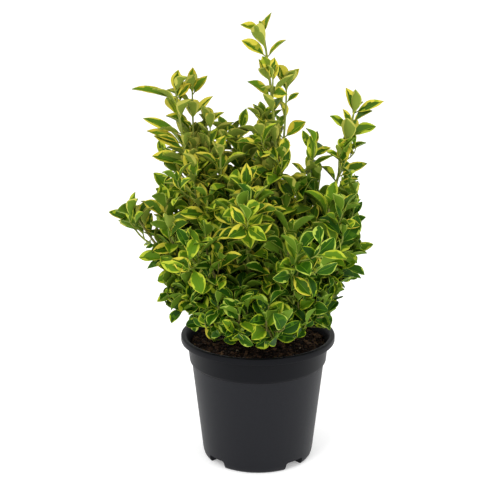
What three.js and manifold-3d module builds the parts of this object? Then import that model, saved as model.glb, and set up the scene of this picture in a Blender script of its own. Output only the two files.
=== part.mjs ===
// A variegated Japanese euonymus growing in a black plastic nursery pot. Millimetres, +Z up, -Y is the
// front. The origin is on the pot's axis, on the flat underside of the pot.
//
// The shrub has one short trunk in the potting mix. Limbs leave it all round, each drawn as one smooth
// curve from the trunk to its leading tip. The lower part of an upper limb is its bough, a node of its
// own. The rest is the stem of a mass of foliage: that stem, its side shoots and their opposite pairs
// of leaves are fused into one solid.
import * as THREE from "three";
import { mergeVertices } from "three/addons/utils/BufferGeometryUtils.js";
import Module from "manifold-3d";

const wasm = await Module();
wasm.setup();

// Driving dimensions of the pot
const POT_HEIGHT = 158;
const RIM_RADIUS = 95;
const RIM_HEIGHT = 7.5;
const RIM_WIDTH = 6.2;
const COLLAR_RADIUS = 86.9;
const COLLAR_FOOT_RADIUS = 84.9;
const STEP_HEIGHT = 123;
const STEP_RADIUS = 82.4;
const WALL_TOP_RADIUS = 81.9;
const WALL_FOOT_RADIUS = 69.1;
const FOOT_RADIUS = 65.2;
const WALL = 1.8;
const POT_SIDES = 28;

// Drain recesses round the pot's foot, each a small roofed bay with a hole in its roof
const RECESS_COUNT = 4;
const FIRST_RECESS = 41.5;
const RECESS_WIDTH = 27;
const RECESS_HEIGHT = 10;
const RECESS_INNER_RADIUS = 50;
const DRAIN_RADIUS = 56;
const DRAIN_WIDTH = 6;

// Potting mix
const SOIL_LEVEL = 144;
const SOIL_MOUND = 4;

// Clearances between the pieces. A place nearer to a mass's own stem than to any other's, by the margin
// for leaves or the margin for shoots, is in the mass's own space.
const GAP = 0.3;
const LIMB_GAP = 0.55;
const LEAF_MARGIN = 1;
const SHOOT_MARGIN = 4;
const LEAF_CLEAR = 2;
const SHOOT_CLEAR = 3;

// Trunk
const TRUNK_FOOT = SOIL_LEVEL + SOIL_MOUND + GAP;
const TRUNK_HEIGHT = 44;
const TRUNK_RADIUS = 8.5;
const TRUNK_TOP_RADIUS = 6.8;
const FLARE_RADIUS = 14;
const FLARE_FALL = 7;
const TRUNK_LEAN = [1.5, 1];
const TRUNK_SIDES = 10;
const TRUNK_STEPS = 5;

// Limbs and twigs
const LOWEST_FOOT = 0.12;
const HIGHEST_FOOT = 0.92;
const LIMB_RADIUS = 2.9;
const LIMB_TIP_RADIUS = 1.2;
const LIMB_SIDES = 5;
const LIMB_BEND = 0.36;
const BOUGH_STEPS = 3;
const STEM_STEPS = 5;
const STEM_SAMPLES = 10;
const SPACE_SAMPLES = 24;
const SHOOT_LENGTH = 52;
const SHOOT_RADIUS = 1.8;
const SHOOT_TIP_RADIUS = 1.2;
const SHOOT_SIDES = 3;
const SHOOT_STEPS = 2;
const SHOOT_TURN = 2.4;
const HIGHEST_SHOOT = 0.82;
const LEAFLESS_SHARE = 0.2;
const FIRST_LEADER = 0.15;
const LEADER_SPACING = 0.14;
const SHOOT_LEAFLESS = 0.35;
const LEAF_STREAM = 1000;

// The dense middle of each mass, below the open tops of the crown
const CORE_RADIUS = 13;
const CORE_FLAT = 0.8;
const CORE_MARGIN = 1;
const CORE_SHORT = 16;
const DENSE_HEIGHT = 345;

// Leaves, a little larger and fewer than the living ones
const LEAF_LENGTH = 43;
const LEAF_WIDTH = 19;
const LEAF_FOLD = 2.4;
const LEAF_DROOP = 3;
const LEAF_SUNK = 2.2;
const LEAF_HANG = 0.1;
const LEAF_ROLL = 0.6;
const BLADE_START = 4;

// How a leaf that has no room is tried again: turned round its stem, closed up towards it, and smaller
const LEAF_TRIES = [
  { turned: 0, opened: 1, grown: 1 },
  { turned: 0.35, opened: 1, grown: 1 },
  { turned: -0.35, opened: 1, grown: 1 },
  { turned: 0, opened: 0.7, grown: 0.95 },
  { turned: 0.5, opened: 0.75, grown: 0.9 },
  { turned: -0.5, opened: 0.75, grown: 0.9 },
  { turned: 0, opened: 0.6, grown: 0.75 },
];
const PAIR_SPACING = 14;
const PAIR_TURN = 90;
const SHADE_RADIUS = 30;
const SHADE_HEIGHT = 270;

const POT_COLOUR = 0x2f3034;
const SOIL_COLOUR = 0x2b1d14;
const BARK_COLOUR = 0x6f6546;
const FOLIAGE_COLOURS = [0x7f9a2a, 0x5f8a26, 0x97a52f, 0x4f7a24];

const UP = new THREE.Vector3(0, 0, 1);
const radians = THREE.MathUtils.degToRad;
const vector = (x, y, z) => new THREE.Vector3(x, y, z);

// The limbs, by the mass of foliage that each one bears. foot is where a limb leaves the trunk, as an
// azimuth in degrees and a share of the height, and spread is its run outwards there for each unit of
// rise. tip is the end of its leading shoot, and drift is its run in x and y there for each unit of
// rise. bough is the share of an upper limb that is bare and a node of its own. leaders are the ends of
// further strong shoots of the same mass. shoots is the number of its side shoots, and seed picks their
// turns and those of the leaves.
const LIMBS = [
  { name: "centre_tall", seed: 745, shoots: 4, foot: [-29, 0.61], spread: 0.3, bough: 0.24,
    tip: [6, 0, 522], drift: [-0.15, 0], leaders: [[33, 8, 458]] },
  { name: "left_high", seed: 578, shoots: 4, foot: [-168, 0.96], spread: 0.9, bough: 0.2,
    tip: [-97, 2, 458], drift: [-0.12, 0], leaders: [[-78, 16, 454], [-62, 16, 412]] },
  { name: "right_high", seed: 267, shoots: 4, foot: [-18, 0.75], spread: 1.1, bough: 0.22,
    tip: [112, 0, 430], drift: [0.2, 0], leaders: [] },
  { name: "right_mid", seed: 508, shoots: 3, foot: [23, 0.73], spread: 0.7, bough: 0.24,
    tip: [61, -6, 386], drift: [0.02, 0], leaders: [] },
  { name: "centre_back", seed: 725, shoots: 2, foot: [113, 0.82], spread: 0.5, bough: 0.24,
    tip: [-21, 42, 402], drift: [0, 0.05], leaders: [] },
  { name: "mid_left", seed: 342, shoots: 2, foot: [156, 0.32], spread: 0.7, bough: 0.24,
    tip: [-44, -32, 384], drift: [0, -0.1], leaders: [[-74, -40, 356]] },
  { name: "centre_front", seed: 559, shoots: 3, foot: [-104, 0.8], spread: 1.3, bough: 0.2,
    tip: [-14, -70, 350], drift: [0, -0.05], leaders: [] },
  { name: "right_inner", seed: 968, shoots: 3, foot: [15, 0.62], spread: 1.5, bough: 0.2,
    tip: [82, -48, 326], drift: [0.05, 0], leaders: [] },
  { name: "front_right", seed: 201, shoots: 3, foot: [-70, 0.65], spread: 1.7, bough: 0.2,
    tip: [36, -84, 306], drift: [0.05, 0], leaders: [] },
  { name: "front_left", seed: 370, shoots: 3, foot: [-108, 0.35], spread: 1.7, bough: 0.2,
    tip: [-60, -80, 302], drift: [0, 0], leaders: [] },
  { name: "far_left", seed: 491, shoots: 4, foot: [-172, 0.33], spread: 1.7, bough: 0.2,
    tip: [-146, -8, 308], drift: [-0.6, 0], leaders: [[-108, -22, 320]] },
  { name: "right_side", seed: 828, shoots: 3, foot: [-9, 0.44], spread: 1.8, bough: 0.2,
    tip: [118, -14, 286], drift: [0.2, 0], leaders: [] },
  { name: "back_left", seed: 781, shoots: 4, foot: [124, 0.75], spread: 1.2, bough: 0.2,
    tip: [-70, 70, 372], drift: [-0.1, 0.1], leaders: [] },
  { name: "back_middle", seed: 302, shoots: 4, foot: [77, 0.81], spread: 1.2, bough: 0.2,
    tip: [12, 86, 376], drift: [0, 0.1], leaders: [] },
  { name: "back_right", seed: 495, shoots: 4, foot: [55, 0.23], spread: 1.3, bough: 0.2,
    tip: [78, 66, 344], drift: [0.1, 0.1], leaders: [] },
  { name: "low_left", seed: 148, shoots: 2, foot: [-160, 0.79], spread: 2.2,
    tip: [-112, -34, 236], drift: [-0.6, -0.2], leaders: [] },
  { name: "low_left_front", seed: 809, shoots: 2, foot: [-139, 0.19], spread: 2.6,
    tip: [-76, -66, 216], drift: [-0.4, -0.4], leaders: [] },
  { name: "low_front_left", seed: 618, shoots: 2, foot: [-152, 0.59], spread: 2.4,
    tip: [-28, -84, 222], drift: [-0.1, -0.5], leaders: [] },
  { name: "low_front", seed: 643, shoots: 2, foot: [-73, 0.25], spread: 2.6,
    tip: [16, -84, 214], drift: [0.1, -0.6], leaders: [] },
  { name: "low_front_right", seed: 764, shoots: 2, foot: [-49, 0.4], spread: 2.2,
    tip: [56, -72, 222], drift: [0.3, -0.4], leaders: [] },
  { name: "low_right", seed: 158, shoots: 2, foot: [-18, 0.12], spread: 2.4,
    tip: [92, -30, 216], drift: [0.4, -0.2], leaders: [] },
  { name: "low_back_right", seed: 982, shoots: 3, foot: [33, 0.55], spread: 2.2,
    tip: [84, 56, 236], drift: [0.5, 0.4], leaders: [] },
  { name: "low_back", seed: 911, shoots: 3, foot: [100, 0.19], spread: 2.2,
    tip: [10, 100, 242], drift: [0, 0.6], leaders: [] },
  { name: "low_back_left", seed: 720, shoots: 3, foot: [140, 0.34], spread: 2.2,
    tip: [-80, 68, 244], drift: [-0.5, 0.4], leaders: [] },
];

// A seeded stream of numbers from 0 to 1.
function randomStream(seed) {
  let state = seed >>> 0;
  return () => {
    state = (state + 0x6d2b79f5) >>> 0;
    let mixed = Math.imul(state ^ (state >>> 15), state | 1);
    mixed ^= mixed + Math.imul(mixed ^ (mixed >>> 7), mixed | 61);
    return ((mixed ^ (mixed >>> 14)) >>> 0) / 4294967296;
  };
}

// A closed three.js geometry as a manifold-3d solid.
function solidOf(geometry) {
  const bare = geometry.clone();
  bare.deleteAttribute("normal");
  bare.deleteAttribute("uv");
  const merged = mergeVertices(bare, 1e-4);
  const mesh = new wasm.Mesh({
    numProp: 3,
    vertProperties: new Float32Array(merged.attributes.position.array),
    triVerts: new Uint32Array(merged.index.array),
  });
  return new wasm.Manifold(mesh);
}

// A manifold-3d solid as a three.js geometry.
function geometryOf(solid) {
  const mesh = solid.getMesh();
  const positions = new Float32Array(mesh.numVert * 3);
  for (let i = 0; i < mesh.numVert; i++)
    for (let k = 0; k < 3; k++) positions[3 * i + k] = mesh.vertProperties[i * mesh.numProp + k];
  const geometry = new THREE.BufferGeometry();
  geometry.setAttribute("position", new THREE.BufferAttribute(positions, 3));
  geometry.setIndex(new THREE.BufferAttribute(new Uint32Array(mesh.triVerts), 1));
  geometry.computeVertexNormals();
  return geometry;
}

// A profile of [radius, height] pairs turned about the Z axis.
function turned(profile, sides) {
  const points = profile.map(([radius, height]) => new THREE.Vector2(radius, height));
  return new THREE.LatheGeometry(points, sides).rotateX(Math.PI / 2);
}

// A box that points away from the axis at an azimuth, between two radii and two heights.
function radialBox({ inner, outer, width, low, high }, azimuth) {
  const box = new THREE.BoxGeometry(outer - inner, width, high - low);
  return solidOf(box.translate((inner + outer) / 2, 0, (low + high) / 2).rotateZ(azimuth));
}

// A round tapering limb along a curve: radius(t) is its radius at a share t of the way.
function taperedLimb({ curve, radius, sides, steps }) {
  const frames = curve.computeFrenetFrames(steps, false);
  const limb = new THREE.CylinderGeometry(1, 1, 1, sides, steps);
  const position = limb.attributes.position;
  for (let i = 0; i < position.count; i++) {
    const step = Math.round((position.getY(i) + 0.5) * steps);
    const size = radius(step / steps);
    const place = curve.getPointAt(step / steps);
    place.addScaledVector(frames.normals[step], position.getX(i) * size);
    place.addScaledVector(frames.binormals[step], -position.getZ(i) * size);
    position.setXYZ(i, place.x, place.y, place.z);
  }
  return limb;
}

// The middle and direction of such a limb at a share of the way, on its straight steps.
function onSteps(curve, steps, share) {
  const step = Math.min(Math.floor(share * steps), steps - 1);
  const low = curve.getPointAt(step / steps);
  const high = curve.getPointAt((step + 1) / steps);
  return { middle: low.clone().lerp(high, share * steps - step), along: high.clone().sub(low).normalize() };
}

// Its radius there.
function radiusOnSteps(radius, steps, share) {
  const step = Math.min(Math.floor(share * steps), steps - 1);
  return THREE.MathUtils.lerp(radius(step / steps), radius((step + 1) / steps), share * steps - step);
}

// The stretch of a curve between two shares of its length, as a curve of its own.
function stretch(curve, from, to, count) {
  const points = [];
  for (let i = 0; i <= count; i++) points.push(curve.getPointAt(THREE.MathUtils.lerp(from, to, i / count)));
  return new THREE.CatmullRomCurve3(points);
}

const RIM_FOOT = POT_HEIGHT - RIM_HEIGHT;

function potOutside() {
  return [
    [0, 0],
    [FOOT_RADIUS, 0],
    [WALL_FOOT_RADIUS, 9],
    [WALL_TOP_RADIUS, STEP_HEIGHT - 0.6],
    [STEP_RADIUS, STEP_HEIGHT],
    [COLLAR_FOOT_RADIUS, STEP_HEIGHT + 3],
    [COLLAR_RADIUS, RIM_FOOT],
    [RIM_RADIUS, RIM_FOOT],
    [RIM_RADIUS, POT_HEIGHT - 1],
    [RIM_RADIUS - 1, POT_HEIGHT],
    [RIM_RADIUS - RIM_WIDTH, POT_HEIGHT],
  ];
}

function potInside() {
  return [
    [COLLAR_RADIUS - WALL, RIM_FOOT],
    [COLLAR_FOOT_RADIUS - WALL, STEP_HEIGHT + 3],
    [WALL_TOP_RADIUS - WALL, STEP_HEIGHT],
    [WALL_FOOT_RADIUS - WALL, 9],
    [FOOT_RADIUS - 1, WALL],
    [0, WALL],
  ];
}

const recessAzimuths = [];
for (let i = 0; i < RECESS_COUNT; i++)
  recessAzimuths.push(radians(FIRST_RECESS + (360 / RECESS_COUNT) * i));

// Each recess has its own roof and sides, which end in the pot's wall.
function pot() {
  const bay = {
    inner: RECESS_INNER_RADIUS - WALL,
    outer: RIM_RADIUS,
    width: RECESS_WIDTH + 2 * WALL,
    low: 1,
    high: RECESS_HEIGHT + WALL,
  };
  const hollow = {
    inner: RECESS_INNER_RADIUS,
    outer: RIM_RADIUS,
    width: RECESS_WIDTH,
    low: -1,
    high: RECESS_HEIGHT,
  };
  const drain = {
    inner: DRAIN_RADIUS - DRAIN_WIDTH / 2,
    outer: DRAIN_RADIUS + DRAIN_WIDTH / 2,
    width: DRAIN_WIDTH,
    low: 0,
    high: POT_HEIGHT,
  };
  const filled = solidOf(turned([...potOutside(), [0, POT_HEIGHT]], POT_SIDES));
  let body = solidOf(turned([...potOutside(), ...potInside()], POT_SIDES));
  for (const azimuth of recessAzimuths) {
    body = body.add(radialBox(bay, azimuth).intersect(filled));
    body = body.subtract(radialBox(hollow, azimuth)).subtract(radialBox(drain, azimuth));
  }
  return body;
}

// The potting mix fills the pot to a small gap, with a slight mound round the trunk.
function pottingMix() {
  const side = WALL + GAP;
  const profile = [
    [0, side],
    [FOOT_RADIUS - 2, side],
    [WALL_FOOT_RADIUS - side - 0.3, 9.2],
    [WALL_TOP_RADIUS - side - 0.2, STEP_HEIGHT],
    [COLLAR_FOOT_RADIUS - side - 0.3, STEP_HEIGHT + 4],
    [COLLAR_RADIUS - side - 0.6, SOIL_LEVEL],
    [FLARE_RADIUS + 14, SOIL_LEVEL + SOIL_MOUND],
    [0, SOIL_LEVEL + SOIL_MOUND],
  ];
  const bayRoom = {
    inner: RECESS_INNER_RADIUS - side,
    outer: RIM_RADIUS,
    width: RECESS_WIDTH + 2 * side,
    low: 0,
    high: RECESS_HEIGHT + side,
  };
  let body = solidOf(turned(profile, POT_SIDES));
  for (const azimuth of recessAzimuths) body = body.subtract(radialBox(bayRoom, azimuth));
  return body;
}

// The trunk, grown by a margin where its neighbours are cut to clear it. Its rings are level, so its
// foot is flat.
function trunkSolid(margin) {
  const trunk = new THREE.CylinderGeometry(1, 1, 1, TRUNK_SIDES, TRUNK_STEPS).rotateX(Math.PI / 2);
  const position = trunk.attributes.position;
  for (let i = 0; i < position.count; i++) {
    const share = position.getZ(i) + 0.5;
    const flare = (FLARE_RADIUS - TRUNK_RADIUS) * Math.exp(-FLARE_FALL * share);
    const radius = THREE.MathUtils.lerp(TRUNK_RADIUS, TRUNK_TOP_RADIUS, share) + flare + margin;
    const [leanX, leanY] = TRUNK_LEAN;
    const x = leanX * share + radius * position.getX(i);
    const y = leanY * share + radius * position.getY(i);
    position.setXYZ(i, x, y, TRUNK_FOOT + TRUNK_HEIGHT * share + (share > 0.5 ? margin : -margin));
  }
  return solidOf(trunk);
}

// The centre line of a limb, from the middle of the trunk to the tip of its leading shoot.
function limbCurve(limb) {
  const tip = vector(...limb.tip);
  const [azimuth, height] = limb.foot;
  const share = THREE.MathUtils.lerp(LOWEST_FOOT, HIGHEST_FOOT, height);
  const foot = vector(0, 0, TRUNK_FOOT + TRUNK_HEIGHT * share);
  const outward = vector(Math.cos(radians(azimuth)), Math.sin(radians(azimuth)), 0);
  const rise = LIMB_BEND * tip.distanceTo(foot);
  const atFoot = UP.clone().addScaledVector(outward, limb.spread).normalize();
  const atTip = vector(...limb.drift, 1).normalize();
  const first = foot.clone().addScaledVector(atFoot, rise);
  const second = tip.clone().addScaledVector(atTip, -rise);
  return new THREE.CubicBezierCurve3(foot, first, second, tip);
}

// The centre line of a shoot that leaves a stem at a point, in a direction, and turns up to its own
// tip.
function shootCurve(from, direction, tip) {
  const span = tip.distanceTo(from);
  const first = from.clone().addScaledVector(direction, 0.3 * span);
  const second = tip.clone().addScaledVector(UP, -0.35 * span);
  return new THREE.CubicBezierCurve3(from, first, second, tip);
}

const curves = LIMBS.map(limbCurve);
const limbRadius = (share) => THREE.MathUtils.lerp(LIMB_RADIUS, LIMB_TIP_RADIUS, share);
const shootRadius = (share) => THREE.MathUtils.lerp(SHOOT_RADIUS, SHOOT_TIP_RADIUS, share);

// The stem of each mass: its limb beyond the bough, or the whole limb where there is no bough. From
// here on the shares are of the stem.
const stemStart = (limb, i) => (limb.bough ? limb.bough + LIMB_GAP / curves[i].getLength() : 0);
const stemStarts = LIMBS.map(stemStart);
const stems = curves.map((curve, i) => stretch(curve, stemStarts[i], 1, STEM_SAMPLES));
const leafyFrom = (limb) => (limb.bough ? 0 : LEAFLESS_SHARE);

// The strong shoots of a mass besides its leading one. Each forks off the stem a little further up.
function leadersOf(limb, owner) {
  return limb.leaders.map((tip, i) => {
    const { middle, along } = onSteps(stems[owner], STEM_STEPS, FIRST_LEADER + LEADER_SPACING * i);
    return shootCurve(middle, along, vector(...tip));
  });
}

// The side shoots of a mass. They leave its stem in turn round it, and are longer low down and away
// from the trunk.
function sideShootsOf(limb, owner) {
  const random = randomStream(limb.seed);
  const outward = vector(limb.tip[0], limb.tip[1], 0).normalize();
  const low = leafyFrom(limb);
  const shoots = [];
  for (let i = 0; i < limb.shoots; i++) {
    const from = low + (HIGHEST_SHOOT - low) * ((i + 0.5 * random()) / limb.shoots);
    const turn = SHOOT_TURN * i + limb.seed + 0.6 * random();
    const side = vector(Math.cos(turn), Math.sin(turn), 0);
    const placed = 1.1 - 0.5 * from + 0.25 * side.dot(outward);
    const length = SHOOT_LENGTH * placed * (0.85 + 0.3 * random());
    const { middle, along } = onSteps(stems[owner], STEM_STEPS, from);
    const tip = middle.clone().addScaledVector(along, 0.5 * length);
    tip.addScaledVector(side, 0.62 * length).addScaledVector(UP, 0.2 * length);
    shoots.push(shootCurve(middle, along.clone().add(side).normalize(), tip));
  }
  return shoots;
}

const leaders = LIMBS.map(leadersOf);
const sideShoots = LIMBS.map(sideShootsOf);

// Points along the strong stems of each mass, which say whose space a place is in, and along each
// bough.
const samplesOf = (curve, from, to) => stretch(curve, from, to, SPACE_SAMPLES).getPoints(SPACE_SAMPLES);
const stemPoints = LIMBS.map((limb, i) => [
  ...samplesOf(stems[i], 0, 1),
  ...leaders[i].flatMap((leader) => samplesOf(leader, 0, 1)),
]);
const boughPoints = LIMBS.map((limb, i) => (limb.bough ? samplesOf(curves[i], 0, limb.bough) : []));

const nearest = (place, points) => Math.min(...points.map((point) => point.distanceTo(place)));

// Radius of the dense middle of a mass round its stem. It is a spindle that ends below the open tops of
// the crown, and leaves room for its neighbours.
function coreRadius(owner, share) {
  const limb = LIMBS[owner];
  const place = stems[owner].getPointAt(share);
  const top = Math.min(DENSE_HEIGHT, limb.tip[2] - CORE_SHORT);
  const low = stems[owner].getPointAt(leafyFrom(limb)).z;
  const rise = THREE.MathUtils.clamp((place.z - low) / (top - low), 0, 1);
  const others = [...stemPoints, ...boughPoints].filter((_, i) => i !== owner);
  const room = Math.min(...others.map((points) => nearest(place, points)));
  const spindle = CORE_RADIUS * Math.sqrt(Math.sin(Math.PI * rise));
  return Math.min(spindle, 0.5 * room - CORE_MARGIN);
}

// Radius of a mass's stem, with its dense middle.
function stemRadius(owner, share) {
  return Math.max(limbRadius(THREE.MathUtils.lerp(stemStarts[owner], 1, share)), coreRadius(owner, share));
}

// True where a place belongs to the mass's own space. It is nearer to its stems than to those of any
// other, by a margin, and clear of the wood of the others.
function inOwnSpace(place, owner, margin) {
  const own = Math.max(nearest(place, stemPoints[owner]), LIMB_RADIUS);
  return stemPoints.every((points, i) => i === owner || nearest(place, points) > own + margin);
}

// True where a place is clear of the boughs, the trunk, the potting mix and the pot.
function clearOfLimbs(place, margin) {
  const around = Math.hypot(place.x, place.y);
  if (place.z < SOIL_LEVEL + SOIL_MOUND + margin) return false;
  if (place.z < POT_HEIGHT + margin && around > COLLAR_RADIUS - WALL - 2 * margin) return false;
  if (place.z < TRUNK_FOOT + TRUNK_HEIGHT + margin && around < TRUNK_RADIUS + 2 * margin) return false;
  return boughPoints.every((points) => nearest(place, points) > LIMB_RADIUS + margin);
}

// A leaf's six corners: the base, two on each side and the tip, as shares of its length and half its
// width. A corner that is raised stands above the keel, which runs from the base to the tip under the
// blade.
const LEAF_CORNERS = {
  base: { along: 0, side: 0, raised: 0 },
  leftLow: { along: 0.36, side: 0.86, raised: 0.9 },
  leftHigh: { along: 0.7, side: 0.94, raised: 1 },
  tip: { along: 1, side: 0, raised: 0 },
  rightHigh: { along: 0.7, side: -0.94, raised: 1 },
  rightLow: { along: 0.36, side: -0.86, raised: 0.9 },
};

// The leaf corner that each corner of an octahedron moves to, by its direction from the middle.
function leafCorner(x, y, z) {
  if (x > 0.5) return LEAF_CORNERS.base;
  if (x < -0.5) return LEAF_CORNERS.leftHigh;
  if (y > 0.5) return LEAF_CORNERS.leftLow;
  if (y < -0.5) return LEAF_CORNERS.rightHigh;
  return z > 0 ? LEAF_CORNERS.tip : LEAF_CORNERS.rightLow;
}

// A leaf of eight faces, four on the blade and four below it beside the keel. Its root is sunk in its
// twig.
function leafGeometry(root, direction, face, length) {
  const width = (LEAF_WIDTH * length) / LEAF_LENGTH;
  const across = new THREE.Vector3().crossVectors(face, direction).normalize();
  const normal = new THREE.Vector3().crossVectors(direction, across).normalize();
  const leaf = new THREE.OctahedronGeometry(1);
  const position = leaf.attributes.position;
  for (let i = 0; i < position.count; i++) {
    const corner = leafCorner(position.getX(i), position.getY(i), position.getZ(i));
    const place = root.clone();
    place.addScaledVector(direction, corner.along * length);
    place.addScaledVector(across, corner.side * 0.5 * width);
    place.addScaledVector(normal, corner.raised * LEAF_FOLD);
    place.addScaledVector(normal, -(corner.along ** 2) * LEAF_DROOP);
    position.setXYZ(i, place.x, place.y, place.z);
  }
  return leaf;
}

// True if every corner of a leaf, and the middle of each of its edges, is in its own space and clear of
// the limbs.
function leafFits(leaf, owner) {
  const fits = (place) => inOwnSpace(place, owner, LEAF_MARGIN) && clearOfLimbs(place, LEAF_CLEAR);
  const position = leaf.attributes.position;
  for (let i = 0; i < position.count; i++) {
    const corner = new THREE.Vector3().fromBufferAttribute(position, i);
    const next = new THREE.Vector3().fromBufferAttribute(position, i % 3 === 2 ? i - 2 : i + 1);
    const middle = corner.clone().lerp(next, 0.5);
    if (!fits(corner) || !fits(middle)) return false;
  }
  return true;
}

// Leaves deep in the shade of the crown have dropped.
const shaded = (place) => Math.hypot(place.x, place.y) < SHADE_RADIUS && place.z < SHADE_HEIGHT;

// A leaf on a stem, at the first try that has room, or null. taken holds the wood and the blades that
// are there already.
function leafOn(middle, along, girth, { open, turn, roll, length }, owner, taken) {
  const aside = new THREE.Vector3(0, 1, 0).cross(along).normalize();
  for (const { turned, opened, grown } of LEAF_TRIES) {
    const out = aside.clone().applyAxisAngle(along, turn + turned);
    const root = middle.clone().addScaledVector(out, Math.max(0, CORE_FLAT * girth - LEAF_SUNK));
    const direction = along.clone().multiplyScalar(Math.cos(open * opened));
    direction.addScaledVector(out, Math.sin(open * opened));
    direction.setZ(direction.z - LEAF_HANG).normalize();
    const face = along.clone().applyAxisAngle(direction, roll);
    const leaf = leafGeometry(root, direction, face, length * grown);
    if (!leafFits(leaf, owner)) continue;
    const bladeRoot = root.clone().addScaledVector(direction, BLADE_START);
    const blade = solidOf(leafGeometry(bladeRoot, direction, face, length * grown - BLADE_START));
    if (taken.some((piece) => !piece.intersect(blade).isEmpty())) continue;
    taken.push(blade);
    return solidOf(leaf);
  }
  return null;
}

// Opposite pairs of leaves down a stem from the small pair at its tip, each pair turned a quarter from
// the last.
function leavesAlong(stem, random, owner, taken) {
  const leaves = [];
  const leafyLength = stem.curve.getLength() * (1 - stem.leafyFrom);
  const count = Math.max(1, Math.round(leafyLength / PAIR_SPACING));
  const firstTurn = Math.PI * random();
  for (let i = count; i >= 0; i--) {
    const last = i === count;
    const share = last ? 0.985 : THREE.MathUtils.lerp(stem.leafyFrom, 1, (i + 0.25) / (count + 0.25));
    const { middle, along } = onSteps(stem.curve, stem.steps, share);
    const girth = radiusOnSteps(stem.radius, stem.steps, share);
    const open = radians(last ? 28 : 42 + 12 * random());
    const length = LEAF_LENGTH * (last ? 0.78 : 0.86 + 0.2 * random());
    for (const half of [0, Math.PI]) {
      const turn = firstTurn + radians(PAIR_TURN) * i + half + 0.3 * (random() - 0.5);
      const roll = LEAF_ROLL * (2 * random() - 1);
      const pose = { open, turn, roll, length };
      const leaf = shaded(middle) ? null : leafOn(middle, along, girth, pose, owner, taken);
      if (leaf) leaves.push(leaf);
    }
  }
  return leaves;
}

// True if a side shoot stays in its own space and clear of the limbs.
function shootFits(curve, owner) {
  const fits = (place) => inOwnSpace(place, owner, SHOOT_MARGIN) && clearOfLimbs(place, SHOOT_CLEAR);
  return curve.getPoints(8).slice(1).every(fits);
}

// One mass of foliage: its stem with its leaders, side shoots and leaves, fused into one solid. Where
// it has no bough, its stem runs to the trunk and is cut to clear it.
function mass(limb, owner, room) {
  const random = randomStream(limb.seed + LEAF_STREAM);
  const stem = {
    curve: stems[owner],
    radius: (share) => stemRadius(owner, share),
    sides: LIMB_SIDES,
    steps: STEM_STEPS,
    leafyFrom: leafyFrom(limb),
  };
  const shootOn = (curve) => ({
    curve,
    radius: shootRadius,
    sides: SHOOT_SIDES,
    steps: SHOOT_STEPS,
    leafyFrom: SHOOT_LEAFLESS,
  });
  const sides = sideShoots[owner].filter((curve) => shootFits(curve, owner));
  const shoots = [...leaders[owner], ...sides].map(shootOn);
  const pieces = [stem, ...shoots];
  const wood = pieces.map((piece) => solidOf(taperedLimb(piece)));
  const taken = [...wood];
  const leaves = pieces.flatMap((piece) => leavesAlong(piece, random, owner, taken));
  const fused = wasm.Manifold.union([...wood, ...leaves]);
  return limb.bough ? fused : fused.subtract(room);
}

function bough(limb, owner, room) {
  const curve = stretch(curves[owner], 0, limb.bough, 8);
  const radius = (share) => limbRadius(share * limb.bough);
  const limbGeometry = taperedLimb({ curve, radius, sides: LIMB_SIDES, steps: BOUGH_STEPS });
  return solidOf(limbGeometry).subtract(room);
}

const group = new THREE.Group();

function addNode(name, solid, colour, roughness) {
  const material = new THREE.MeshStandardMaterial({ color: colour, roughness, metalness: 0 });
  const mesh = new THREE.Mesh(geometryOf(solid), material);
  mesh.name = name;
  group.add(mesh);
}

const trunkRoom = trunkSolid(LIMB_GAP);
addNode("pot", pot(), POT_COLOUR, 0.5);
addNode("potting_mix", pottingMix(), SOIL_COLOUR, 0.95);
addNode("trunk", trunkSolid(0), BARK_COLOUR, 0.85);
LIMBS.forEach((limb, owner) => {
  if (limb.bough) addNode("bough_" + limb.name, bough(limb, owner, trunkRoom), BARK_COLOUR, 0.8);
  const colour = FOLIAGE_COLOURS[owner % FOLIAGE_COLOURS.length];
  addNode("foliage_" + limb.name, mass(limb, owner, trunkRoom), colour, 0.5);
});

export default group;
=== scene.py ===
import math

import bpy
import numpy as np
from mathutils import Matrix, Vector, noise


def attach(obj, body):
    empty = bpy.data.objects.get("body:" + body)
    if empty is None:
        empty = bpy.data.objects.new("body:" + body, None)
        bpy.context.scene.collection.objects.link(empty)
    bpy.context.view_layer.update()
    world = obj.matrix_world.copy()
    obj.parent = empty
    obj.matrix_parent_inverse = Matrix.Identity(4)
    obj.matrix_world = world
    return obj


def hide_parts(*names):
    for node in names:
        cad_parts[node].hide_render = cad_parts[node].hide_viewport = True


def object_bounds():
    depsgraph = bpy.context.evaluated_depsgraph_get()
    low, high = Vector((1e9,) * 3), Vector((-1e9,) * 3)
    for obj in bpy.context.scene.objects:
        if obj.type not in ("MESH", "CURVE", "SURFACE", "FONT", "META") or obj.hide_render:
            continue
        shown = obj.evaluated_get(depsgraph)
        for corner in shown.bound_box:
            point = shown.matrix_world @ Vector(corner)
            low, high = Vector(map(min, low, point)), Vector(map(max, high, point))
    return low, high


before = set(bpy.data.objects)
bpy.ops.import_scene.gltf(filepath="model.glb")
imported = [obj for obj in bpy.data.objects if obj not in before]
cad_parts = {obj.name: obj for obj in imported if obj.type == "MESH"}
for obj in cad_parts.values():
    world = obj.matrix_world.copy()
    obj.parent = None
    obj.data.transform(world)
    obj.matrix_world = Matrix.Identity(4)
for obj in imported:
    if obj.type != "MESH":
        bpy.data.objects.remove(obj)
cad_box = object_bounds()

MM = 0.001
TURN = 2 * math.pi
UP = np.array([0.0, 0.0, 1.0])

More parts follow.
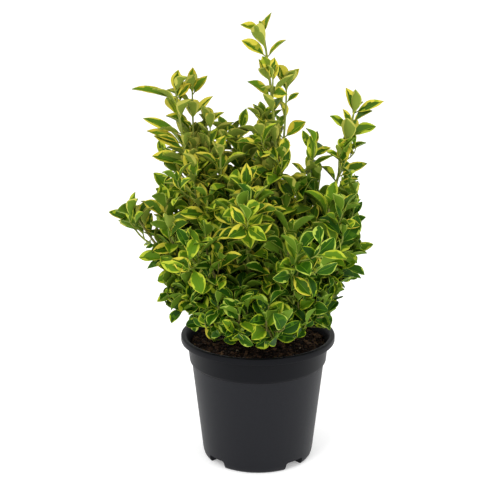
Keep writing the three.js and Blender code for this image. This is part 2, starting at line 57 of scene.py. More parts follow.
# Pot and potting mix, as in the source
POT_HEIGHT = 158
RIM_RADIUS = 95
COLLAR_RADIUS = 86.9
STEP_HEIGHT = 123
WALL = 1.8
RECESS_COUNT = 4
FIRST_RECESS = 41.5
RECESS_WIDTH = 27
RECESS_HEIGHT = 10
RECESS_INNER_RADIUS = 50
DRAIN_RADIUS = 56
DRAIN_WIDTH = 6
SOIL_LEVEL = 144
SOIL_MOUND = 4
GAP = 0.3

# Trunk, as in the source
TRUNK_FOOT = SOIL_LEVEL + SOIL_MOUND + GAP
TRUNK_HEIGHT = 44
TRUNK_RADIUS = 8.5
TRUNK_TOP_RADIUS = 6.8
FLARE_RADIUS = 14
FLARE_FALL = 7
TRUNK_LEAN = (1.5, 1.0)

# Limbs and shoots, as in the source, only with thinner side shoots, leafy from further down and
# with a wider margin
LOWEST_FOOT = 0.12
HIGHEST_FOOT = 0.92
LIMB_RADIUS = 2.9
LIMB_TIP_RADIUS = 1.2
LIMB_BEND = 0.36
FIRST_LEADER = 0.15
LEADER_SPACING = 0.14
SHOOT_LENGTH = 52
SHOOT_TURN = 2.4
SHOOT_FOOT_BEND = 0.3
SHOOT_TIP_BEND = 0.35
HIGHEST_SHOOT = 0.82
SHOOT_MARGIN = 8
LEAFLESS_SHARE = 0.2
PAIR_SPACING = 14
PAIR_TURN = math.radians(90)
# spacing is the distance between pairs of leaves, leafy_from the share where they begin, size their
# size, and sides the number of the mesh's sides
STEM = dict(tip_radius=LIMB_TIP_RADIUS, size=1, sides=8)
LEADER = dict(radius=1.9, tip_radius=1.0, leafy_from=0.25, size=1, sides=7)
SIDE_SHOOT = dict(radius=1.5, tip_radius=1.0, leafy_from=0.25, spacing=PAIR_SPACING, size=0.95,
                  sides=6)

# Finer twigs in the leaf axils, which only the looks have. They stand closest on the skirt, and
# thin out above the dense body and towards a shoot's tip.
TWIG = dict(radius=0.9, tip_radius=0.6, leafy_from=0.4, spacing=13, size=0.86, sides=5)
TWIG_LENGTH = 30
TWIG_SPACINGS = (15, 8)
LOW_TWIG_HEIGHTS = (280, 220)
TWIG_MARGIN = 6
HIGHEST_TWIG = 0.86
DENSE_HEIGHT = 320
OPEN_HEIGHT = 405
OPEN_SHARE = 0.66
OPEN_TWIGS = 0.35

# Leaves of natural size. High up they are narrow and upright, on the skirt broad and hanging.
LEAF_LENGTH = 39
LEAF_SIZES = (0.86, 1.12)
LAST_LEAF_SIZES = (0.8, 0.95)
HEIGHT_SIZES = (0.83, 1)
SIZE_HEIGHTS = (190, 300)
BUD_SIZE = 0.45
BUD_ANGLE = math.radians(14)
LEAF_ANGLES = (28, 56)
LAST_LEAF_ANGLES = (14, 48)
LAST_PAIR = 0.985
TURN_LUCK = 0.3
LEAF_ROLL = 0.6
LEAF_SUNK = 0.6
LEAF_BENDS = (0.25, 0.8)
LEAF_FOLDS = (0.32, 0.85)
STIFF_SHARE = 0.15
BEND_POWER = 1.1
LEAF_HANGS = (0.02, 0.14)
HANG_HEIGHTS = (330, 210)
LEAF_WIDTHS = (0.47, 0.39)
LEAF_WIDTH_LUCK = (0.86, 1.16)
TIP_SHARPNESS = (0.86, 1.0)
NARROW_HEIGHTS = (200, 400)
PETIOLE = 0.12
PETIOLE_RADIUS = 0.75
LEAF_THICKNESS = 0.35
SHADE_RADIUS = 30
SHADE_HEIGHT = 270
LEAF_MARGIN = 1
BOX_MARGIN = 2

# Leaves placed on the crown's outline: how far they start before or behind their shoot, how much
# they face the front, and how they bend
OUTLINE_DEPTH = 6
OUTLINE_FACING = (0.4, 1.2)
OUTLINE_BENDS = (0.1, 0.35)
OUTLINE_ARCH = 0.4

# How golden a spray is: more with its height above the skirt, and more to the left
LOW_TONE = 0.08
TONE_RISE = 0.78
TONE_FOOT = 200
TONE_SPAN = 330
TONE_LEFT = 1500
TONE_LUCK = 0.3

# The skirt's lowest leaves leave the potting mix in view: across and up, as seen from the front.
# Behind the pot's axis they keep above a level that rises to the sides.
SKIRT_LINE = [
    (-100, 172), (-80, 162), (-70, 170), (-58, 151), (-32, 145), (-22, 152), (-2, 137), (16, 143),
    (32, 152), (46, 147), (58, 166), (72, 172), (88, 162), (100, 184),
]
SKIRT_LEVEL = 166
SKIRT_MIDDLE = 22
SKIRT_RISE = 0.24

# The crown's reach, as seen from the front: up, to the left and to the right of the axis
REACH_ROWS = [
    (150, 84, 90), (175, 96, 94), (195, 122, 100), (215, 122, 108), (240, 126, 128),
    (262, 145, 137), (288, 152, 124), (304, 178, 126), (322, 176, 126), (340, 128, 124),
    (365, 122, 124), (400, 132, 130), (420, 138, 138), (440, 130, 148), (462, 150, 120),
    (480, 104, 60), (520, 60, 40), (560, 50, 30),
]

# The crown's skyline, as seen from the front: across and up
SKYLINE = [
    (-190, 320), (-156, 338), (-149, 462), (-108, 462), (-103, 483), (-58, 477), (-54, 455),
    (-46, 434), (-33, 420), (-27, 420), (-24, 432), (-21, 534), (0, 537), (6, 547), (16, 547),
    (21, 519), (33, 518), (36, 485), (53, 485), (55, 424), (59, 412), (74, 406), (79, 394),
    (82, 431), (99, 431), (101, 462), (113, 462), (122, 447), (147, 448),
]

# Where the front shows sky between the shoots: across, up and the gap's radius
SKY_GAPS = [
    (-22, 486, 20), (-23, 452, 16), (35, 497, 14), (54, 436, 13), (-147, 273, 13), (53, 464, 12),
    (84, 407, 12), (-130, 438, 11), (126, 380, 9), (-56, 460, 9), (139, 424, 9), (46, 397, 9),
    (131, 248, 8), (-137, 336, 8), (88, 363, 13), (-21, 522, 7), (-49, 442, 7), (130, 403, 7),
    (-125, 348, 7), (17, 534, 6), (-116, 433, 6), (-136, 416, 6), (-1, 471, 6), (-132, 401, 6),
    (47, 383, 8), (116, 374, 6), (-124, 234, 7), (-122, 212, 7), (-93, 176, 7), (101, 445, 6),
    (81, 350, 8), (43, 361, 8), (-84, 425, 9), (-10, 420, 8), (75, 342, 6),
]

# The photo's point of view
VIEW_DISTANCE = 1300
VIEW_HEIGHT = 615
VIEW_ASIDE = 9.75
VIEW_DOWN = 15.12
FOCAL_PIXELS = 1110
IMAGE_PIXELS = 500
SENSOR_WIDTH = 36

# The limbs, as in the source: the name of the mass of foliage, the stream and number of its side
# shoots, the stream of its leaves of natural size, the azimuth and height of its foot on the
# trunk, its run outwards there and in x and y at its tip for each unit of rise, and its tip. Some
# rows go on with the bare share that is a bough, the distance between pairs of leaves on its
# strong shoots, and the tips of its further strong shoots.
LIMB_FIELDS = ("name", "seed", "shoots", "leaves", "foot", "spread", "drift", "tip",
               "bough", "spacing", "leaders")
LIMB_ROWS = [
    ("centre_tall", 745, 4, 3533, (-29, 0.61), 0.3, (-0.15, 0), (6, 0, 522),
     0.24, 19, [(33, 8, 458)]),
    ("left_high", 578, 4, 2958, (-168, 0.96), 0.9, (-0.12, 0), (-97, 2, 458),
     0.2, 18, [(-78, 16, 454), (-62, 16, 412)]),
    ("right_high", 267, 4, 3943, (-18, 0.75), 1.1, (0.2, 0), (112, 0, 430), 0.22, 19),
    ("right_mid", 508, 3, 2312, (23, 0.73), 0.7, (0.02, 0), (61, -6, 386), 0.24, 17),
    ("centre_back", 725, 2, 249, (113, 0.82), 0.5, (0, 0.05), (-21, 42, 402), 0.24, 17),
    ("mid_left", 342, 2, 2962, (156, 0.32), 0.7, (0, -0.1), (-44, -32, 384),
     0.24, 16, [(-74, -40, 356)]),
    ("centre_front", 559, 3, 179, (-104, 0.8), 1.3, (0, -0.05), (-14, -70, 350), 0.2, 16),
    ("right_inner", 968, 3, 132, (15, 0.62), 1.5, (0.05, 0), (82, -48, 326), 0.2),
    ("front_right", 201, 3, 4285, (-70, 0.65), 1.7, (0.05, 0), (36, -84, 306), 0.2),
    ("front_left", 370, 3, 710, (-108, 0.35), 1.7, (0, 0), (-60, -80, 302), 0.2),
    ("far_left", 491, 4, 687, (-172, 0.33), 1.7, (-0.6, 0), (-146, -8, 308),
     0.2, 16, [(-108, -22, 320)]),
    ("right_side", 828, 3, 1264, (-9, 0.44), 1.8, (0.2, 0), (118, -14, 286), 0.2),
    ("back_left", 781, 4, 4289, (124, 0.75), 1.2, (-0.1, 0.1), (-70, 70, 372), 0.2),
    ("back_middle", 302, 4, 3066, (77, 0.81), 1.2, (0, 0.1), (12, 86, 376), 0.2),
    ("back_right", 495, 4, 1075, (55, 0.23), 1.3, (0.1, 0.1), (78, 66, 344), 0.2),
    ("low_left", 148, 2, 3476, (-160, 0.79), 2.2, (-0.6, -0.2), (-112, -34, 236)),
    ("low_left_front", 809, 2, 2493, (-139, 0.19), 2.6, (-0.4, -0.4), (-76, -66, 216)),
    ("low_front_left", 618, 2, 1582, (-152, 0.59), 2.4, (-0.1, -0.5), (-28, -84, 222)),
    ("low_front", 643, 2, 3215, (-73, 0.25), 2.6, (0.1, -0.6), (16, -84, 214)),
    ("low_front_right", 764, 2, 4560, (-49, 0.4), 2.2, (0.3, -0.4), (56, -72, 222)),
    ("low_right", 158, 2, 457, (-18, 0.12), 2.4, (0.4, -0.2), (92, -30, 216)),
    ("low_back_right", 982, 3, 3434, (33, 0.55), 2.2, (0.5, 0.4), (84, 56, 236)),
    ("low_back", 911, 3, 123, (100, 0.19), 2.2, (0, 0.6), (10, 100, 242)),
    ("low_back_left", 720, 3, 4372, (140, 0.34), 2.2, (-0.5, 0.4), (-80, 68, 244)),
]
LIMBS = [dict(zip(LIMB_FIELDS, row)) for row in LIMB_ROWS]

# Leaves that stand out of the crown's outline, as measured from the front: for each mass, where the
# leaf leaves its shoot and where its tip is, across and up in the plane of the pot's axis
OUTLINE_LEAVES = {
    "centre_tall": [
        (6, 526, 15, 546), (4, 522, -21, 532), (6, 493, -20, 514), (12, 494, 32, 515),
        (16, 465, 19, 494), (11, 448, -13, 467), (30, 454, 26, 482), (35, 462, 48, 482),
        (32, 441, 48, 454), (30, 401, 56, 420), (14, 467, 19, 495), (12, 467, 0, 493),
    ],
    "left_high": [
        (-110, 444, -148, 458), (-96, 401, -136, 424), (-102, 391, -132, 409),
        (-100, 454, -93, 481), (-81, 462, -76, 484), (-75, 450, -59, 474), (-66, 429, -53, 450),
        (-56, 419, -40, 431), (-112, 383, -124, 403), (-101, 365, -126, 379),
        (-99, 335, -125, 359), (-94, 449, -89, 475), (-88, 449, -79, 465), (-66, 429, -87, 442),
        (-80, 410, -88, 422), (-81, 401, -56, 419),
    ],
    "right_high": [
        (118, 429, 102, 460), (119, 428, 147, 444), (115, 403, 139, 414), (107, 406, 84, 427),
        (108, 377, 128, 395), (105, 349, 130, 370), (109, 307, 125, 324), (106, 301, 130, 305),
        (94, 285, 123, 294), (93, 325, 120, 337), (117, 419, 134, 433), (109, 415, 99, 435),
        (102, 377, 101, 404), (93, 347, 75, 367),
    ],
    "right_mid": [
        (62, 389, 52, 410), (65, 388, 70, 409), (65, 377, 86, 389), (68, 365, 90, 380),
        (59, 353, 40, 371),
    ],
    "centre_back": [(-20, 408, -14, 436)],
    "centre_front": [(-13, 338, -14, 371)],
    "far_left": [
        (-142, 309, -147, 336), (-117, 250, -145, 254), (-117, 244, -135, 240),
        (-98, 226, -123, 224), (-124, 271, -136, 266), (-121, 325, -116, 346),
        (-154, 306, -180, 311), (-141, 306, -127, 326),
    ],
    "right_side": [
        (120, 255, 140, 271), (123, 259, 116, 287), (108, 241, 130, 232), (100, 231, 126, 228),
        (91, 223, 107, 216),
    ],
    "back_right": [(103, 344, 120, 355)],
    "low_left": [
        (-99, 217, -115, 208), (-111, 195, -124, 198), (-93, 187, -107, 170), (-79, 182, -77, 159),
    ],
    "low_left_front": [(-62, 177, -54, 149)],
    "low_right": [(74, 179, 89, 161)],
}

# The leaf pieces, and the masses of foliage that each one stands for
LEAF_PIECES = {
    "leaves_high": ["centre_tall", "left_high", "right_high", "right_mid", "centre_back"],
    "leaves_left": ["mid_left", "front_left", "far_left", "centre_front"],
    "leaves_right": ["right_inner", "front_right", "right_side"],
    "leaves_back": ["back_left", "back_middle", "back_right"],
    "leaves_low_front": ["low_left", "low_left_front", "low_front_left", "low_front",
                         "low_front_right", "low_right"],
    "leaves_low_back": ["low_back_right", "low_back", "low_back_left"],
}


def random_stream(seed):
    """The source's seeded stream of numbers from 0 to 1."""
    mask = 0xFFFFFFFF
    state = seed & mask

    def draw():
        nonlocal state
        state = (state + 0x6D2B79F5) & mask
        mixed = ((state ^ (state >> 15)) * (state | 1)) & mask
        mixed ^= (mixed + (((mixed ^ (mixed >> 7)) * (mixed | 61)) & mask)) & mask
        return ((mixed ^ (mixed >> 14)) & mask) / 4294967296

    return draw


def lerp(low, high, share):
    return low + (high - low) * share


def fade(value, start, end):
    """0 at start, 1 at end, even between them and held beyond them."""
    return np.clip((value - start) / (end - start), 0, 1)


def unit(vector):
    return vector / np.linalg.norm(vector)


def polar(radius, angle):
    return radius * math.cos(angle), radius * math.sin(angle)


def level(azimuth):
    """The level direction at an azimuth."""
    return np.array([*polar(1, azimuth), 0])


def square_to(vector, axis):
    """The unit vector square to a unit axis, on the vector's side of it."""
    return unit(vector - axis * np.dot(vector, axis))


def turned_about(vector, axis, angle):
    """A vector turned about a unit axis."""
    cosine, sine = math.cos(angle), math.sin(angle)
    return (vector * cosine + np.cross(axis, vector) * sine
            + axis * np.dot(axis, vector) * (1 - cosine))


class Path:
    """A smooth line through points, read by the share of its length."""

    def __init__(self, points):
        self.points = np.array(points, float)
        steps = np.linalg.norm(np.diff(self.points, axis=0), axis=1)
        self.lengths = np.concatenate([[0], np.cumsum(steps)])
        self.length = self.lengths[-1]

    def at(self, share):
        place = share * self.length
        return np.array([np.interp(place, self.lengths, self.points[:, k]) for k in range(3)])

    def along(self, share):
        low = self.at(max(0, share - 0.02))
        high = self.at(min(1, share + 0.02))
        return unit(high - low)

    def part(self, low, high, count=40):
        return Path([self.at(lerp(low, high, i / count)) for i in range(count + 1)])


def bezier(start, first, second, end, count=60):
    t = np.linspace(0, 1, count + 1)[:, None]
    return Path((1 - t) ** 3 * start + 3 * (1 - t) ** 2 * t * first
                + 3 * (1 - t) * t**2 * second + t**3 * end)


def limb_path(limb):
    """The line of a whole limb, from the middle of the trunk to its tip."""
    azimuth, height = limb["foot"]
    foot = UP * (TRUNK_FOOT + TRUNK_HEIGHT * lerp(LOWEST_FOOT, HIGHEST_FOOT, height))
    tip = np.array(limb["tip"], float)
    rise = LIMB_BEND * np.linalg.norm(tip - foot)
    at_foot = unit(UP + limb["spread"] * level(math.radians(azimuth)))
    at_tip = unit(np.array([*limb["drift"], 1.0]))
    return bezier(foot, foot + at_foot * rise, tip - at_tip * rise, tip)


def shoot_path(start, direction, tip):
    """The line of a shoot, which sets out in a direction and turns up to its tip."""
    span = np.linalg.norm(tip - start)
    return bezier(start, start + direction * SHOOT_FOOT_BEND * span,
                  tip - UP * SHOOT_TIP_BEND * span, tip, 24)


def leaders_of(limb, stem):
    """The lines of a mass's further strong shoots."""
    paths = []
    for i, tip in enumerate(limb.get("leaders", [])):
        share = FIRST_LEADER + LEADER_SPACING * i
        paths.append(shoot_path(stem.at(share), stem.along(share), np.array(tip, float)))
    return paths


def side_shoots_of(limb, stem, low):
    """The lines of a mass's side shoots, in turn round its stem and longer low down and outside."""
    random = random_stream(limb["seed"])
    outward = unit(np.array([limb["tip"][0], limb["tip"][1], 0.0]))
    paths = []
    for i in range(limb["shoots"]):
        share = low + (HIGHEST_SHOOT - low) * ((i + 0.5 * random()) / limb["shoots"])
        turn = SHOOT_TURN * i + limb["seed"] + 0.6 * random()
        side = level(turn)
        placed = 1.1 - 0.5 * share + 0.25 * np.dot(side, outward)
        length = SHOOT_LENGTH * placed * (0.85 + 0.3 * random())
        middle, along = stem.at(share), stem.along(share)
        tip = middle + along * 0.5 * length + side * 0.62 * length + UP * 0.2 * length
        paths.append(shoot_path(middle, unit(along + side), tip))
    return paths


def seen_from_front(place):
    """Across and up, where the line of sight through a place crosses the pot's middle plane."""
    nearer = VIEW_DISTANCE / (VIEW_DISTANCE + place[1])
    across = (place[0] + VIEW_ASIDE) * nearer - VIEW_ASIDE
    return across, VIEW_HEIGHT + (place[2] - VIEW_HEIGHT) * nearer


def behind_front(across, height, depth):
    """The place at a depth that lies on the line of sight through across and height."""
    nearer = VIEW_DISTANCE / (VIEW_DISTANCE + depth)
    x = (across + VIEW_ASIDE) / nearer - VIEW_ASIDE
    return np.array([x, depth, VIEW_HEIGHT + (height - VIEW_HEIGHT) / nearer])


def reaches_too_far(place, margin):
    """True in the potting mix or the rim, under the skirt, in the sky or beyond the reach."""
    around = math.hypot(place[0], place[1])
    skirt = SKIRT_LEVEL + SKIRT_RISE * max(0, abs(place[0]) - SKIRT_MIDDLE)
    low, high = cad_box
    if (place[2] < SOIL_LEVEL + SOIL_MOUND + margin
            or place[2] < POT_HEIGHT + margin and around > COLLAR_RADIUS - WALL - 2 * margin
            or place[1] >= 0 and place[2] < skirt and around > SHADE_RADIUS
            or any(place[k] < low[k] / MM + BOX_MARGIN or place[k] > high[k] / MM - BOX_MARGIN
                   for k in range(3))):
        return True
    across, height = seen_from_front(place)
    heights, left, right = zip(*REACH_ROWS)
    return (height > np.interp(across, *zip(*SKYLINE))
            or place[1] < 0 and height < np.interp(across, *zip(*SKIRT_LINE))
            or any(math.hypot(across - x, height - z) < radius for x, z, radius in SKY_GAPS)
            or across < margin - np.interp(height, heights, left)
            or across > np.interp(height, heights, right) - margin)


def tone_at(place):
    """How golden the leaves are there."""
    height = (place[2] - TONE_FOOT) / TONE_SPAN
    left = -place[0] / TONE_LEFT
    return min(1.0, max(0.0, LOW_TONE + TONE_RISE * height + left))


def out_from(along, turn):
    """The direction square to a shoot at a turn about it."""
    return turned_about(unit(np.cross([0.0, 1.0, 0.0], along)), along, turn)


def leaf_on(shoot, share, turn, roll, open_angle, length, random):
    """A leaf's row of numbers: root, direction, face, length, bend, fold, tone and chance.

    It is None where the leaf would reach too far, or lie in the dark inside the crown.
    """
    along = shoot["path"].along(share)
    out = out_from(along, turn)
    girth = lerp(shoot["radius"], shoot["tip_radius"], share)
    root = shoot["path"].at(share) + out * max(0, girth - LEAF_SUNK)
    direction = along * math.cos(open_angle) + out * math.sin(open_angle)
    direction[2] -= lerp(*LEAF_HANGS, fade(root[2], *HANG_HEIGHTS))
    direction = unit(direction)
    face = turned_about(along, direction, roll)
    bend = lerp(*LEAF_BENDS, random())
    fold = lerp(*LEAF_FOLDS, random())
    tone = shoot["tone"] + TONE_LUCK * (random() - 0.5)
    chance = random()
    middle = root + direction * length / 2
    if math.hypot(middle[0], middle[1]) < SHADE_RADIUS and middle[2] < SHADE_HEIGHT:
        return None
    normal = square_to(face, direction)
    for part in (0.5, 0.75, 1):
        sag = bend * (part - STIFF_SHARE) ** (BEND_POWER + 1) / (BEND_POWER + 1)
        if reaches_too_far(root + length * (part * direction - sag * normal), LEAF_MARGIN):
            return None
    return [*root, *direction, *face, length, bend, fold, tone, chance]


def leaves_along(shoot, random):
    """Opposite pairs of leaves down a shoot from the upright pair at its tip, as in the source.

    A strong shoot also has a pair of young leaves at its very tip.
    """
    leaves = []
    path, low = shoot["path"], shoot["leafy_from"]
    count = max(1, round(path.length * (1 - low) / shoot["spacing"]))
    first_turn = math.pi * random()
    for i in range(count, -1, -1):
        last = i == count
        share = LAST_PAIR if last else lerp(low, 1, (i + 0.25) / (count + 0.25))
        height = fade(path.at(share)[2], *SIZE_HEIGHTS)
        length = LEAF_LENGTH * shoot["size"] * lerp(*HEIGHT_SIZES, height)
        length *= lerp(*(LAST_LEAF_SIZES if last else LEAF_SIZES), random())
        for half in (0, math.pi):
            angle = math.radians(lerp(*(LAST_LEAF_ANGLES if last else LEAF_ANGLES), random()))
            turn = first_turn + PAIR_TURN * i + half + TURN_LUCK * (random() - 0.5)
            roll = LEAF_ROLL * (2 * random() - 1)
            leaves.append(leaf_on(shoot, share, turn, roll, angle, length, random))
    if shoot["radius"] > TWIG["radius"]:
        for half in (0, math.pi):
            turn = first_turn + PAIR_TURN * (count + 1) + half
            leaves.append(leaf_on(shoot, 1, turn, 0, BUD_ANGLE, BUD_SIZE * LEAF_LENGTH, random))
    return [leaf for leaf in leaves if leaf is not None]


def outline_leaf(shoots, start, end, random):
    """A leaf from the place on a shoot nearest to start to a tip at end, as seen from the front."""
    def gap(spot):
        across, height = seen_from_front(spot[0]["path"].at(spot[1]))
        return math.hypot(across - start[0], height - start[1])

    spots = [(shoot, share) for shoot in shoots for share in np.linspace(0, 1, 40)]
    shoot, share = min(spots, key=gap)
    root = shoot["path"].at(share)
    reach = behind_front(*end, root[1] + lerp(-OUTLINE_DEPTH, OUTLINE_DEPTH, random())) - root
    length = np.linalg.norm(reach)
    face = shoot["path"].along(share) + np.array([0, -lerp(*OUTLINE_FACING, random()), 0])
    direction = reach / length
    normal = square_to(face, direction)
    bend = lerp(*OUTLINE_BENDS, random())
    direction = unit(direction + OUTLINE_ARCH * bend * normal)
    tone = shoot["tone"] + TONE_LUCK * (random() - 0.5)
    fold = lerp(*LEAF_FOLDS, random())
    return [*root, *direction, *normal, length, bend, fold, tone, random()]


def twigs_along(shoot, random):
    """Short leafy twigs in the leaf axils of a shoot, few on its open top."""
    twigs = []
    path, low = shoot["path"], shoot["leafy_from"]
    spacing = lerp(*TWIG_SPACINGS, fade(path.at(0.6)[2], *LOW_TWIG_HEIGHTS))
    count = int(path.length * (1 - low) / spacing)
    for i in range(count):
        share = lerp(low, HIGHEST_TWIG, (i + random()) / count)
        start = path.at(share)
        wanted = fade(start[2], OPEN_HEIGHT, DENSE_HEIGHT)
        if share > OPEN_SHARE:
            wanted *= OPEN_TWIGS
        turn = TURN * random()
        length = TWIG_LENGTH * (0.7 + 0.6 * random())
        if random() > wanted:
            continue
        along = path.along(share)
        direction = unit(along + 0.8 * out_from(along, turn))
        tip = start + direction * length + UP * 0.25 * length
        if not reaches_too_far(tip, TWIG_MARGIN):
            twigs.append(dict(TWIG, path=shoot_path(start, direction, tip), tone=tone_at(tip)))
    return twigs


def grow(limb):
    """The bough of a limb, and the shoots and leaves of its mass of foliage."""
    whole = limb_path(limb)
    bough_share, spacing = limb.get("bough", 0), limb.get("spacing", PAIR_SPACING)
    stem = whole.part(bough_share, 1)
    leafy_from = 0 if bough_share else LEAFLESS_SHARE
    radius = lerp(LIMB_RADIUS, LIMB_TIP_RADIUS, bough_share)
    same = dict(spacing=spacing, tone=tone_at(np.array(limb["tip"])))
    strong = [dict(STEM, path=stem, radius=radius, leafy_from=leafy_from, **same)]
    strong += [dict(LEADER, path=path, **same) for path in leaders_of(limb, stem)]
    strong += [dict(SIDE_SHOOT, path=path, tone=tone_at(path.at(1)))
               for path in side_shoots_of(limb, stem, leafy_from)
               if not reaches_too_far(path.at(1), SHOOT_MARGIN)]
    random = random_stream(limb["leaves"])
    fine = [twig for shoot in strong for twig in twigs_along(shoot, random)]
    leaves = [leaf for shoot in strong + fine for leaf in leaves_along(shoot, random)]
    leaves += [outline_leaf(strong, (x, z), (tip_x, tip_z), random)
               for x, z, tip_x, tip_z in OUTLINE_LEAVES.get(limb["name"], [])]
    bough = whole.part(0, bough_share) if bough_share else None
    return dict(bough=bough, shoots=strong + fine, leaves=leaves)


def linear(rgb):
    """A colour of 0 to 255 per channel, as Blender's linear values."""
    shares = [c / 255 for c in rgb]
    return [c / 12.92 if c <= 0.04045 else ((c + 0.055) / 1.055) ** 2.4 for c in shares] + [1.0]


def plain_material(name, rgb, roughness, gloss):
    material = bpy.data.materials.new(name)
    material.use_nodes = True
    shader = material.node_tree.nodes["Principled BSDF"]
    shader.inputs["Base Color"].default_value = linear(rgb)
    shader.inputs["Roughness"].default_value = roughness
    shader.inputs["Specular IOR Level"].default_value = gloss
    return material


def textured_material(name, low, high, scale, roughness, bump, gloss, bump_scale,
                      stretch=(1, 1, 1)):
    """Two colours mixed by noise at a size in the part's own space, with a fine bump."""
    material = plain_material(name, low, roughness[0], gloss)
    tree = material.node_tree
    shader = tree.nodes["Principled BSDF"]

    def node(kind, values):
        made = tree.nodes.new("ShaderNode" + kind)
        for name, value in values.items():
            made.inputs[name].default_value = value
        return made

    place = node("TexCoord", {})
    mapping = node("Mapping", {"Scale": stretch})
    cloud = node("TexNoise", {"Scale": scale, "Detail": 6})
    ramp = node("ValToRGB", {})
    for element, position, rgb in zip(ramp.color_ramp.elements, (0.35, 0.68), (low, high)):
        element.position = position
        element.color = linear(rgb)
    rough = node("MapRange", {"To Min": roughness[0], "To Max": roughness[1]})
    grain = node("TexNoise", {"Scale": bump_scale, "Detail": 4})
    relief = node("Bump", {"Strength": bump, "Distance": 0.0006})
    for start, output, end, socket in (
            (place, "Object", mapping, "Vector"), (mapping, "Vector", cloud, "Vector"),
            (mapping, "Vector", grain, "Vector"), (cloud, "Fac", ramp, "Fac"),
            (cloud, "Fac", rough, "Value"), (ramp, "Color", shader, "Base Color"),
            (rough, "Result", shader, "Roughness"), (grain, "Fac", relief, "Height"),
            (relief, "Normal", shader, "Normal")):
        tree.links.new(start.outputs[output], end.inputs[socket])
    return material


LEAF_COLOURS = {
    "margin_gold": (198, 188, 62), "margin_ochre": (184, 168, 48), "margin_lime": (170, 182, 52),
    "margin_pale": (164, 182, 70), "margin_soft": (146, 164, 34), "between_lime": (148, 163, 34),
    "between_deep": (62, 100, 12), "between_olive": (140, 145, 34), "centre_dark": (56, 88, 12),
    "centre_mid": (70, 102, 14), "centre_deep": (32, 66, 8), "centre_full": (42, 80, 8),
    "centre_bright": (84, 118, 18), "centre_olive": (100, 120, 20), "rib_green": (86, 128, 22),
    "rib_yellow": (136, 154, 34), "under_green": (92, 122, 30), "under_olive": (124, 142, 52),
    "under_rim": (184, 184, 82), "under_lime": (154, 174, 72),
}
LEAF_ROUGHNESS = {"margin": 0.5, "between": 0.46, "centre": 0.4, "rib": 0.5, "under": 0.65}
LEAF_GLOSS = 0.07

# The colours of sprays, from the greenest to the most golden, each as its shades by zone
ZONE_NAMES = ("margin", "between", "centre", "rib", "under", "under")
LEAF_PALETTES = [
    ("soft", "deep", "deep", "green", "green", "lime"),
    ("pale", "deep", "full", "green", "green", "lime"),
    ("lime", "lime", "bright", "green", "green", "lime"),
    ("gold", "lime", "dark", "green", "green", "rim"),
    ("lime", "lime", "mid", "yellow", "olive", "rim"),
    ("gold", "olive", "mid", "green", "olive", "rim"),
    ("ochre", "olive", "bright", "yellow", "olive", "rim"),
    ("gold", "lime", "olive", "yellow", "olive", "rim"),
]
PALETTE_LUCK = 0.2


def into_scene(name, data):
    made = bpy.data.objects.new(name, data)
    bpy.context.scene.collection.objects.link(made)
    return made


def make_object(name, points, faces, materials, indices=None, smooth=True):
    """A mesh object from points in millimetres."""
    mesh = bpy.data.meshes.new(name)
    mesh.from_pydata((np.asarray(points) * MM).tolist(), [], [list(face) for face in faces])
    for material in materials:
        mesh.materials.append(material)
    if indices is not None:
        mesh.polygons.foreach_set("material_index", np.asarray(indices, np.int32))
    mesh.polygons.foreach_set("use_smooth", np.full(len(mesh.polygons), smooth))
    mesh.update()
    return into_scene(name, mesh)


class Batch:
    """Points and faces of many small meshes, gathered into one."""

    def __init__(self):
        self.points, self.faces, self.indices, self.count = [], [], [], 0

    def add(self, points, faces, index=0):
        self.points.append(np.asarray(points, float))
        self.faces += [[self.count + corner for corner in face] for face in faces]
        self.indices += [index] * len(faces)
        self.count += len(points)

    def to_object(self, name, materials, smooth=True):
        points = np.concatenate(self.points)
        return make_object(name, points, self.faces, materials, self.indices, smooth)


def rings_along(path, count):
    """Places, and two directions across, at even steps along a path, without twist."""
    side = np.cross(path.along(0), [0.3, 0.9, 0.2])
    rings = []
    for share in np.linspace(0, 1, count + 1):
        along = path.along(share)
        side = square_to(side, along)
        rings.append((share, path.at(share), side, np.cross(along, side)))
    return rings


def ring_faces(rings):
    """Faces between rings of point numbers. A ring of one point is a tip."""
    faces = []
    for low, high in zip(rings, rings[1:]):
        for k in range(max(len(low), len(high))):
            corners = [low[k % len(low)], low[(k + 1) % len(low)],
                       high[(k + 1) % len(high)], high[k % len(high)]]
            faces.append(list(dict.fromkeys(corners)))
    return faces


def tube(path, radius_at, sides, steps):
    """A closed tube along a path. radius_at gives the radius at a share and an angle."""
    points = []
    for share, place, side, other in rings_along(path, steps):
        for k in range(sides):
            angle = TURN * k / sides
            radius = radius_at(share, angle)
            points.append(place + radius * (math.cos(angle) * side + math.sin(angle) * other))
    rings = np.arange((steps + 1) * sides).reshape(-1, sides).tolist()
    return points, [*ring_faces(rings), rings[0][::-1], rings[-1]]


# A leaf's points lie in rows at stations along its length: 8 columns on its upper side, then 3 on
# its underside, whose outer columns are the upper side's own rim.
STATIONS = np.array([0, 0.07, 0.15, 0.26, 0.38, 0.5, 0.62, 0.74, 0.85, 0.94, 1.0])
ROWS = len(STATIONS)
TOP_GRID = np.arange(ROWS * 8).reshape(ROWS, 8)
OWN_GRID = np.arange(ROWS * 3).reshape(ROWS, 3) + TOP_GRID.size
UNDER_GRID = np.hstack([TOP_GRID[:, :1], OWN_GRID, TOP_GRID[:, -1:]])


def grid_faces(grid):
    """The corners of the faces of a grid of point numbers."""
    corners = grid[:-1, :-1], grid[1:, :-1], grid[1:, 1:], grid[:-1, 1:]
    return np.stack(corners, axis=2).reshape(-1, 4)


LEAF_FACES = np.vstack([grid_faces(TOP_GRID), grid_faces(UNDER_GRID)[:, [0, 3, 2, 1]]])
